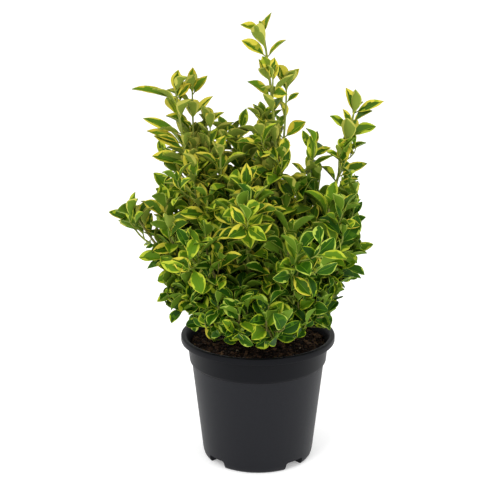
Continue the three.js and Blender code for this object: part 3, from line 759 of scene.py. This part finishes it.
# The rings of points that close a leaf at its root and at its tip
LEAF_RINGS = np.hstack([TOP_GRID, OWN_GRID[:, ::-1]])
LEAF_ENDS = np.array([LEAF_RINGS[0], LEAF_RINGS[-1, ::-1]])
LEAF_RIM = np.union1d(LEAF_ENDS, UNDER_GRID[:, [0, -1]])

MARGIN, BETWEEN, CENTRE, RIB, UNDER, RIM = range(6)
TOP_ZONES = [MARGIN, BETWEEN, CENTRE, RIB, CENTRE, BETWEEN, MARGIN]
UNDER_ZONES = [RIM, UNDER, UNDER, RIM]
LEAF_ZONES = np.array(TOP_ZONES * (ROWS - 1) + UNDER_ZONES * (ROWS - 1))
# A face's own zone, the range of luck in which it changes, and the zone that it takes
MOTTLING = [
    (MARGIN, 0, 0.06, BETWEEN), (BETWEEN, 0, 0.14, MARGIN), (BETWEEN, 0.14, 0.5, CENTRE),
    (CENTRE, 0, 0.06, BETWEEN), (UNDER, 0, 0.02, RIM), (RIM, 0, 0.08, UNDER),
]

# The pattern on a leaf, as shares of half its width. Some pairs go from the greenest leaf's value
# to the most golden one's.
MARGIN_WIDTHS = (0.06, 0.36)
MARGIN_LUCK = (0.5, 1.45)
WIDE_MARGIN = 2
WIDE_MARGIN_LUCK = 0.93
WAVE_DEPTHS = (0.05, 0.13)
WAVE_COUNTS = (0.7, 2.2)
JAG_DEPTHS = (0.1, 0.28)
TIP_GOLD = (-1.1, 0.8)
ROOT_GOLD = (0.1, 0.3)
PATCH_PLACES = (0.25, 1.0)
PATCH_CHANCES = (0.12, 0.6)
PATCH_DEPTH = 0.6
PATCH_LENGTH = 0.12
BETWEEN_WIDTHS = (0.06, 0.3)
RIB_WIDTH = 0.045

# The shape of a leaf's cross-section
TIP_WIDTH = 0.12
LEAF_TWISTS = (-0.5, 0.5)
BULGE = 0.8
RIM_WAVE = 0.6
RIM_WAVE_COUNT = 1.6
RIB_GROOVE = 0.25
RIB_GROOVE_SHARE = 0.1
RIB_KEEL = 0.3
UNDER_GAP = 0.04


def outlines_of_leaves(pointed):
    """Half of each leaf's width at its stations, as a share of the widest."""
    blade = fade(STATIONS, PETIOLE, 1)
    widths = blade[None, :] ** 1.05 * (1 - blade[None, :]) ** pointed[:, None]
    return widths / widths.max(axis=1)[:, None]


def variegation(tone, chance):
    """Where the yellow margin and the green centre end on one half of each leaf."""
    single, full, places = (len(tone), 1), (len(tone), ROWS), STATIONS[None, :]
    near_tip = np.clip((places - 0.66) / 0.34, 0, 1)
    near_root = fade(places, 0.2, 0)
    luck = chance.random(single)
    golden = np.clip(tone, 0, 1)[:, None]
    margin = lerp(*MARGIN_WIDTHS, golden**1.4)
    margin = margin * np.where(luck > WIDE_MARGIN_LUCK, WIDE_MARGIN, lerp(*MARGIN_LUCK, luck))
    waves = lerp(*WAVE_COUNTS, chance.random(single))
    phase = chance.random(single) + waves * places
    drawn = lerp(*WAVE_DEPTHS, golden) * np.sin(TURN * phase)
    jagged = lerp(*JAG_DEPTHS, golden) * (chance.random(full) - 0.5)
    tipped = np.clip(lerp(*TIP_GOLD, chance.random(single)) + 0.6 * golden, 0, 1)
    patch_place = lerp(*PATCH_PLACES, chance.random(single))
    patched = PATCH_DEPTH * (chance.random(single) < lerp(*PATCH_CHANCES, golden))
    patch = patched * np.exp(-(((places - patch_place) / PATCH_LENGTH) ** 2))
    rooted = lerp(*ROOT_GOLD, golden) * near_root
    outer = np.clip(1 - margin - tipped * near_tip - patch - rooted + drawn + jagged, 0.2, 0.93)
    between = lerp(*BETWEEN_WIDTHS, chance.random(full))
    return outer, np.clip(outer - between, 0.11, 0.9)


def leaf_points(rows, chance):
    """Points of many leaves at once, as an array of leaf, point and axis."""
    root, direction, face = rows[:, 0:3], rows[:, 3:6], rows[:, 6:9]
    length, bend, fold, tone = rows[:, 9], rows[:, 10], rows[:, 11], rows[:, 12]
    across = np.cross(face, direction)
    across /= np.linalg.norm(across, axis=1)[:, None]
    normal = np.cross(direction, across)
    count = len(rows)

    angle = bend[:, None] * np.clip(STATIONS - STIFF_SHARE, 0, 1)[None, :] ** BEND_POWER
    step = np.diff(STATIONS, prepend=0)[None, :] * length[:, None]
    middle = (angle + np.concatenate([np.zeros((count, 1)), angle[:, :-1]], axis=1)) / 2
    reach = np.cumsum(step * np.cos(middle), axis=1)
    drop = -np.cumsum(step * np.sin(middle), axis=1)

    high = fade(root[:, 2], *NARROW_HEIGHTS)
    broad = lerp(*LEAF_WIDTHS, high) * lerp(*LEAF_WIDTH_LUCK, chance.random(count))
    width = broad * np.minimum(length, LEAF_LENGTH)
    pointed = lerp(*TIP_SHARPNESS, high) + 0.1 * (chance.random(count) - 0.5)
    shape = outlines_of_leaves(pointed)
    stalk = np.where(STATIONS < 0.25, PETIOLE_RADIUS, TIP_WIDTH)
    half = np.maximum(0.5 * width[:, None] * shape, stalk[None, :])

    left_outer, left_inner = variegation(tone, chance)
    right_outer, right_inner = variegation(tone, chance)
    rib = np.full((count, ROWS), RIB_WIDTH)
    edge = np.ones((count, ROWS))
    top = np.stack([-edge, -left_outer, -left_inner, -rib, rib, right_inner, right_outer, edge],
                   axis=2)
    under = np.stack([-left_outer, 0 * edge, right_outer], axis=2)

    phase = chance.random((count, 1)) + RIM_WAVE_COUNT * STATIONS[None, :]
    wave = (RIM_WAVE * np.sin(TURN * phase))[:, :, None]
    twist = (lerp(*LEAF_TWISTS, chance.random((count, 1))) * STATIONS[None, :])[:, :, None]
    size, wide, folded = shape[:, :, None], half[:, :, None], fold[:, None, None]

    def height(shares):
        over = np.abs(shares)
        rise = folded * over * wide + twist * shares * wide
        bulge = BULGE * size * 4 * over * (1 - over)
        groove = RIB_GROOVE * (over < RIB_GROOVE_SHARE)
        return rise + bulge + wave * size * over**3 - groove

    def placed(shares, heights):
        a = reach[:, :, None] + heights * np.sin(angle)[:, :, None]
        b = drop[:, :, None] + heights * np.cos(angle)[:, :, None]
        places = (root[:, None, None, :] + a[..., None] * direction[:, None, None, :]
                  + b[..., None] * normal[:, None, None, :]
                  + (shares * wide)[..., None] * across[:, None, None, :])
        return places.reshape(count, -1, 3)

    thick = LEAF_THICKNESS * (1 - 0.8 * np.abs(under)) + RIB_KEEL * (under == 0)
    below = height(under) - thick - UNDER_GAP
    return np.concatenate([placed(top, height(top)), placed(under, below)], axis=1)


def mottled(count, chance):
    """The zones of many leaves, where some faces take the zone beside their own."""
    draw = chance.random((count, len(LEAF_ZONES)))
    mixed = np.repeat(LEAF_ZONES[None, :], count, axis=0)
    for own, low, high, beside in MOTTLING:
        mixed[(LEAF_ZONES == own) & (draw >= low) & (draw < high)] = beside
    return mixed


def leaf_object(name, leaves, materials, seed):
    """One piece of leaves. Their rims are sharp edges between the upper side and the underside."""
    rows = np.array(leaves)
    chance = np.random.default_rng(seed)
    points = leaf_points(rows, chance)
    count, size = points.shape[:2]
    first_points = (np.arange(count) * size)[:, None, None]
    faces = []
    for part in (LEAF_FACES, LEAF_ENDS):
        faces += (part[None, :, :] + first_points).reshape(-1, part.shape[1]).tolist()
    names = list(LEAF_COLOURS)
    slots = np.array([[names.index(f"{zone}_{shade}") for zone, shade in zip(ZONE_NAMES, palette)]
                      for palette in LEAF_PALETTES])
    tone = np.clip(rows[:, 12] + PALETTE_LUCK * (rows[:, 13] - 0.5), 0, 0.999)
    palette = (tone * len(LEAF_PALETTES)).astype(int)
    indices = slots[palette[:, None], mottled(count, chance)].reshape(-1)
    indices = np.concatenate([indices, np.repeat(slots[palette, RIM], len(LEAF_ENDS))])
    made = make_object(name, points.reshape(-1, 3), faces, materials, indices)
    edges = np.empty(2 * len(made.data.edges), np.int32)
    made.data.edges.foreach_get("vertices", edges)
    sharp = np.isin(edges.reshape(-1, 2) % size, LEAF_RIM).all(axis=1)
    made.data.edges.foreach_set("use_edge_sharp", sharp)
    return made


POT_SIDES = 160
POT_PROFILE = [
    (0, 0), (64.4, 0), (65.3, 0.3), (66.3, 1), (67.6, 2.8), (68.5, 5.4), (69.2, 9), (81.8, 121.2),
    (81.9, 122.0), (82.8, 122.3), (83.1, 122.8), (82.9, 123.4), (83.5, 123.9), (84.3, 124.9),
    (84.8, 126.6), (86.9, 149.6), (87.1, 150.2), (87.7, 150.5), (94.2, 150.5), (94.8, 150.8),
    (95, 151.4), (95, 156.8), (94.7, 157.6), (94.0, 158), (90.2, 158), (89.4, 157.7),
    (88.8, 157.0), (85.1, 150.3), (83.1, 126.4), (80.2, 123), (67.3, 9), (64, 2.6), (62, 1.8),
    (0, 1.8),
]
# The foot of the pot up to above its recesses, filled to the middle of the wall
FILLED_PROFILE = [(0, 0), (64.4, 0), (65.6, 2.8), (67.6, 9), (68.4, 18), (0, 18)]
RECESS_CORNER = 3
SHARP_ANGLE = math.radians(38)


def lathe(profile):
    """A closed shape turned about the pot's axis from a profile of radii and heights."""
    points, rings = [], []
    for radius, height in profile:
        count = POT_SIDES if radius else 1
        rings.append([len(points) + k for k in range(count)])
        points += [(*polar(radius, TURN * k / count), height) for k in range(count)]
    return points, ring_faces(rings)


def combine(made, other, operation):
    """made, joined with, cut by or kept within the other shape, which goes."""
    change = made.modifiers.new("shape", "BOOLEAN")
    change.operation = operation
    change.object = other
    change.solver = "EXACT"
    graph = bpy.context.evaluated_depsgraph_get()
    mesh = bpy.data.meshes.new_from_object(made.evaluated_get(graph))
    made.modifiers.clear()
    made.data = mesh
    bpy.data.objects.remove(other)


def rounded_bay(azimuth, inner, low, grown):
    """The room of one drain recess, with rounded upper corners, grown by a thickness."""
    half, top, corner = RECESS_WIDTH / 2 + grown, RECESS_HEIGHT + grown, RECESS_CORNER + grown
    x, z = half - corner, top - corner
    arc = [polar(corner, angle) for angle in np.linspace(0, math.pi / 2, 5)]
    section = [(-half, low), (half, low), (half, z)]
    section += [(x + c, z + s) for c, s in arc[1:]] + [(-x - s, z + c) for c, s in arc]
    points = []
    for out_x, out_y in (polar(inner, azimuth), polar(RIM_RADIUS, azimuth)):
        for aside, up in section:
            aside_x, aside_y = polar(aside, azimuth)
            points.append((out_x - aside_y, out_y + aside_x, up))
    rings = np.arange(len(points)).reshape(2, -1).tolist()
    faces = [rings[0][::-1], rings[1], *ring_faces(rings)]
    return make_object("bay", points, faces, [], smooth=False)


def drain(azimuth):
    """A round drain hole through the roof of a recess."""
    x, y = polar(DRAIN_RADIUS, azimuth)
    path = Path([(x, y, RECESS_HEIGHT - 4), (x, y, RECESS_HEIGHT + 4)])
    points, faces = tube(path, lambda share, angle: DRAIN_WIDTH / 2, 24, 1)
    return make_object("drain", points, faces, [], smooth=False)


def make_pot():
    """The pot, with its four roofed recesses. Its collar and rim are smoother than its wall, and
    darker: painted shade from the rim.
    """
    wall = textured_material("pot_wall", low=(17, 18, 23), high=(22, 23, 28), scale=900,
                             roughness=(0.42, 0.5), bump=0.12, gloss=0.17, bump_scale=2600)
    # Painted shade: the collar, rim and inner wall above the step are darker than the wall, for the
    # shade under the rim
    collar = textured_material("pot_collar_painted_shade", low=(9, 10, 14), high=(13, 14, 18), scale=900,
                               roughness=(0.4, 0.48), bump=0.06, gloss=0.09, bump_scale=2600)
    shell = make_object("pot_shell", *lathe(POT_PROFILE), [wall, collar])
    for i in range(RECESS_COUNT):
        azimuth = math.radians(FIRST_RECESS + 360 / RECESS_COUNT * i)
        roof = rounded_bay(azimuth, RECESS_INNER_RADIUS - WALL, 1, WALL)
        combine(roof, make_object("filled", *lathe(FILLED_PROFILE), []), "INTERSECT")
        combine(shell, roof, "UNION")
        combine(shell, rounded_bay(azimuth, RECESS_INNER_RADIUS, -2, 0), "DIFFERENCE")
        combine(shell, drain(azimuth), "DIFFERENCE")
    # Faces above the step take the darker collar material, which is painted shade
    for face in shell.data.polygons:
        face.material_index = int(face.center.z > (STEP_HEIGHT + 0.5) * MM)
        face.use_smooth = True
    shell.data.set_sharp_from_angle(angle=SHARP_ANGLE)
    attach(shell, "root")
    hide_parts("pot")


# The surface of the potting mix, in rings of points. Below it the potting mix follows the pot's
# inner wall down to above the recesses' roofs, by radius and height.
SOIL_RINGS = 64
SOIL_SIDES = 220
SOIL_EDGE = 84.2
SOIL_SIDE = [(82.8, 126.6), (79.9, 123), (67.4, 13)]

# Loose crumbs on it: name, colour, share of all, range of sizes and range of flatness
CRUMB_COUNT = 2600
CRUMBS = [
    ("crumb_black", (22, 16, 12), 0.41, (1.2, 3.4), (0.6, 0.9)),
    ("crumb_brown", (40, 28, 20), 0.33, (1.2, 3.4), (0.6, 0.9)),
    ("crumb_bark", (62, 44, 30), 0.17, (2, 6), (0.25, 0.5)),
    ("crumb_wood", (88, 66, 45), 0.08, (2, 6), (0.25, 0.5)),
    ("crumb_pale", (146, 132, 104), 0.01, (1.2, 3.4), (0.6, 0.9)),
]
CRUMB_REACH = 83
CRUMB_SEED = 58
FIBRE_COUNT = 150
FIBRE_REACH = 74
FIBRE_RADIUS = 0.28


def soil_height(x, y):
    """Level of the potting mix, with its mound and its crumbs."""
    def rough(scale, slice_height):
        return noise.noise(Vector((x / scale, y / scale, slice_height)))

    mound = SOIL_MOUND * max(0.0, 1 - math.hypot(x, y) / 70) ** 0.8
    lumps = 1.6 * rough(16, 0.3)
    crumbs = 1.1 * rough(4.5, 4.1) + 0.6 * rough(1.9, 8.3)
    return SOIL_LEVEL + 0.6 + mound + 0.55 * lumps + 0.7 * crumbs


def make_soil_surface():
    """The potting mix, with a crumbled surface and closed below."""
    points = [(0, 0, soil_height(0, 0))]
    for i in range(1, SOIL_RINGS + 1):
        for k in range(SOIL_SIDES):
            x, y = polar(SOIL_EDGE * i / SOIL_RINGS, TURN * (k + 0.5 * (i % 2)) / SOIL_SIDES)
            points.append((x, y, soil_height(x, y)))
    for radius, height in SOIL_SIDE:
        for k in range(SOIL_SIDES):
            points.append((*polar(radius, TURN * k / SOIL_SIDES), height))
    rings = [[0], *np.arange(1, len(points)).reshape(-1, SOIL_SIDES).tolist()]
    faces = [face[:1] + face[:0:-1] for face in ring_faces(rings)] + [rings[-1][::-1]]
    peat = textured_material("peat", low=(15, 11, 8), high=(44, 31, 21), scale=260,
                             roughness=(0.85, 1.0), bump=0.8, gloss=0.1, bump_scale=1400)
    surface = make_object("potting_mix_surface", points, faces, [peat])
    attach(surface, "root")
    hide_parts("potting_mix")


def crumb(chance, centre, size, flat):
    """An angular crumb or chip, as a rough eight-cornered lump."""
    shape = np.array([[x, y, z] for x in (-1, 1) for y in (-1, 1) for z in (-1, 1)], float)
    shape *= 0.5 * size * np.array([1, chance.uniform(0.5, 0.9), flat])
    shape += chance.uniform(-0.16, 0.16, shape.shape) * size * np.array([1, 1, flat])
    turn, tilt = chance.uniform(0, TURN), chance.uniform(-0.5, 0.5)
    c, s, ct, st = math.cos(turn), math.sin(turn), math.cos(tilt), math.sin(tilt)
    turned, tilted = [[c, -s, 0], [s, c, 0], [0, 0, 1]], [[ct, 0, st], [0, 1, 0], [-st, 0, ct]]
    faces = [(0, 1, 3, 2), (4, 6, 7, 5), (0, 4, 5, 1), (2, 3, 7, 6), (0, 2, 6, 4), (1, 5, 7, 3)]
    return shape @ (np.array(turned) @ np.array(tilted)).T + centre, faces


def fibre(chance, centre):
    """A thin bent peat fibre that lies on the surface."""
    along = level(chance.uniform(0, TURN))
    across = np.array([-along[1], along[0], 0])
    length, bow = chance.uniform(6, 16), chance.uniform(-3, 3)
    rise = chance.uniform(0.4, 2.2)
    path = Path([centre + along * length * t + across * bow * (0.25 - t * t) * 4
                 + UP * (0.6 + rise * (0.25 - t * t)) for t in np.linspace(-0.5, 0.5, 7)])
    return tube(path, lambda share, angle: FIBRE_RADIUS, 4, 6)


def make_soil_crumbs():
    """Crumbs and fibres that lie on the potting mix, none at the trunk's foot or in the wall."""
    chance = np.random.default_rng(CRUMB_SEED)
    names, colours, shares, sizes, flatness = zip(*CRUMBS)
    batch = Batch()
    for _ in range(CRUMB_COUNT):
        radius = CRUMB_REACH * math.sqrt(chance.random())
        x, y = polar(radius, chance.uniform(0, TURN))
        if radius < 12:
            continue
        kind = int(chance.choice(len(CRUMBS), p=shares))
        size = chance.uniform(*sizes[kind])
        flat = chance.uniform(*flatness[kind])
        size = min(size, max(1.0, 1.6 * (CRUMB_REACH + 1 - radius)))
        centre = np.array([x, y, soil_height(x, y) + 0.25 * size * flat])
        batch.add(*crumb(chance, centre, size, flat), kind)
    for _ in range(FIBRE_COUNT):
        radius = FIBRE_REACH * math.sqrt(chance.random())
        x, y = polar(radius, chance.uniform(0, TURN))
        points, faces = fibre(chance, np.array([x, y, soil_height(x, y)]))
        batch.add(points, faces, int(chance.choice([1, 2, 3])))
    materials = [plain_material(name, rgb, 0.9, 0.15) for name, rgb in zip(names, colours)]
    crumbs = batch.to_object("potting_mix_crumbs", materials, smooth=False)
    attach(crumbs, "root")


def bark_relief(place, depth):
    """Fine ridges that run along the wood."""
    ridge = noise.noise(Vector((place[0] * 0.9, place[1] * 0.9, place[2] * 0.16)))
    knot = noise.noise(Vector((place[0] * 0.25, place[1] * 0.25, place[2] * 0.3)))
    return depth * (0.7 * ridge + 0.6 * knot)


TRUNK_RELIEF = 1.3
BOUGH_RELIEF = 0.14


def trunk_radius(share, angle):
    """The trunk's radius, with its uneven flare at the foot and its domed top."""
    flare = (FLARE_RADIUS - TRUNK_RADIUS) * math.exp(-FLARE_FALL * share)
    radius = lerp(TRUNK_RADIUS, TRUNK_TOP_RADIUS, share)
    radius = radius + flare * (0.8 + 0.3 * math.sin(3 * angle + 1))
    dome = math.sqrt(max(0.0, 1 - max(0.0, (share - 0.9) / 0.1) ** 2))
    place = (*polar(radius, angle), share * TRUNK_HEIGHT)
    return (radius + bark_relief(place, TRUNK_RELIEF)) * max(0.05, dome)


def make_bark(grown):
    """The trunk and the boughs, with the bark's relief."""
    batch = Batch()
    low = np.array([0, 0, TRUNK_FOOT - 3])
    high = np.array([*TRUNK_LEAN, TRUNK_FOOT + TRUNK_HEIGHT])
    trunk = Path([lerp(low, high, t) for t in np.linspace(0, 1, 20)])
    batch.add(*tube(trunk, trunk_radius, 40, 50))
    for limb, growth in zip(LIMBS, grown):
        if growth["bough"] is None:
            continue

        def bough_radius(share, angle):
            radius = lerp(LIMB_RADIUS, LIMB_TIP_RADIUS, share * limb["bough"])
            place = (6 * math.cos(angle) + limb["seed"], 6 * math.sin(angle), share * 60)
            return radius * (1 + bark_relief(place, BOUGH_RELIEF))

        batch.add(*tube(growth["bough"].part(0, 1, 30), bough_radius, 12, 24))
    bark = textured_material("bark", low=(96, 82, 52), high=(146, 130, 92), scale=240,
                             roughness=(0.7, 0.9), bump=0.6, gloss=0.2, bump_scale=1100,
                             stretch=(1, 1, 0.25))
    wood = batch.to_object("bark", [bark])
    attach(wood, "root")
    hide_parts("trunk", *[f"bough_{limb['name']}" for limb in LIMBS if "bough" in limb])


TWIG_STEP = 6
NODE_SWELLING = 0.1
YOUNG_HEIGHT = 260


def make_twigs(grown):
    """Every leafy stem, shoot and twig, swollen a little at its nodes."""
    batch = Batch()
    for shoot in [shoot for growth in grown for shoot in growth["shoots"]]:
        path = shoot["path"]
        nodes = path.length / shoot["spacing"]

        def radius_at(share, angle):
            radius = lerp(shoot["radius"], shoot["tip_radius"], share)
            return radius * (1 + NODE_SWELLING * math.cos(TURN * nodes * share))

        points, faces = tube(path, radius_at, shoot["sides"], max(4, int(path.length / TWIG_STEP)))
        batch.add(points, faces, 0 if path.at(0.5)[2] > YOUNG_HEIGHT else 1)
    young = plain_material("twig_young", (128, 138, 62), 0.5, LEAF_GLOSS)
    older = plain_material("twig_older", (118, 116, 62), 0.6, LEAF_GLOSS)
    twigs = batch.to_object("twigs", [young, older])
    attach(twigs, "root")


def make_leaves(grown):
    """The leaf pieces, each with the colours of all."""
    materials = [plain_material(name, rgb, LEAF_ROUGHNESS[name.split("_")[0]], LEAF_GLOSS)
                 for name, rgb in LEAF_COLOURS.items()]
    by_name = {limb["name"]: growth for limb, growth in zip(LIMBS, grown)}
    for seed, (piece_name, masses) in enumerate(LEAF_PIECES.items()):
        leaves = [leaf for name in masses for leaf in by_name[name]["leaves"]]
        piece = leaf_object(piece_name, leaves, materials, seed)
        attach(piece, "root")
        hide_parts(*[f"foliage_{name}" for name in masses])


FLOOR_REACH = 30000
FLOOR_GLOW = 0.22
BACKDROP_LIGHT = 1.03
# Soft studio lights, in metres and watts
LIGHT_AIM = (0, 0, 0.3)
KEY_LIGHT = dict(place=(-0.9, -1.4, 1.6), size=1.0, power=16)
FILL_LIGHT = dict(place=(1.3, -1.0, 0.9), size=1.2, power=6)


def make_stage():
    """A plain pale floor and an even white surrounding."""
    white = plain_material("floor_white", (252, 252, 252), 0.9, 0.1)
    shader = white.node_tree.nodes["Principled BSDF"]
    shader.inputs["Emission Color"].default_value = (1, 1, 1, 1)
    shader.inputs["Emission Strength"].default_value = FLOOR_GLOW
    low, high = -FLOOR_REACH, FLOOR_REACH
    corners = [(low, low, 0), (high, low, 0), (high, high, 0), (low, high, 0)]
    floor = make_object("floor", corners, [(0, 1, 2, 3)], [white], smooth=False)
    world = bpy.data.worlds.new("studio")
    world.use_nodes = True
    backdrop = world.node_tree.nodes["Background"]
    backdrop.inputs["Color"].default_value = (1, 1, 1, 1)
    backdrop.inputs["Strength"].default_value = BACKDROP_LIGHT
    bpy.context.scene.world = world
    bpy.context.scene.view_settings.view_transform = "Standard"


def add_light(name, place, size, power):
    lamp = bpy.data.lights.new(name, "AREA")
    lamp.shape = "DISK"
    lamp.size = size
    lamp.energy = power
    made = into_scene(name, lamp)
    made.location = place
    made.rotation_euler = (Vector(LIGHT_AIM) - Vector(place)).to_track_quat("-Z", "Y").to_euler()


def make_camera():
    camera = bpy.data.cameras.new("camera")
    camera.sensor_width = SENSOR_WIDTH
    camera.lens = SENSOR_WIDTH * FOCAL_PIXELS / IMAGE_PIXELS
    made = into_scene("camera", camera)
    made.location = (-VIEW_ASIDE * MM, -VIEW_DISTANCE * MM, VIEW_HEIGHT * MM)
    made.rotation_euler = (math.radians(90 - VIEW_DOWN), 0, 0)
    bpy.context.scene.camera = made


make_camera()
make_stage()
add_light("key", **KEY_LIGHT)
add_light("fill", **FILL_LIGHT)
grown = [grow(limb) for limb in LIMBS]
make_pot()
make_soil_surface()
make_soil_crumbs()
make_bark(grown)
make_twigs(grown)
make_leaves(grown)
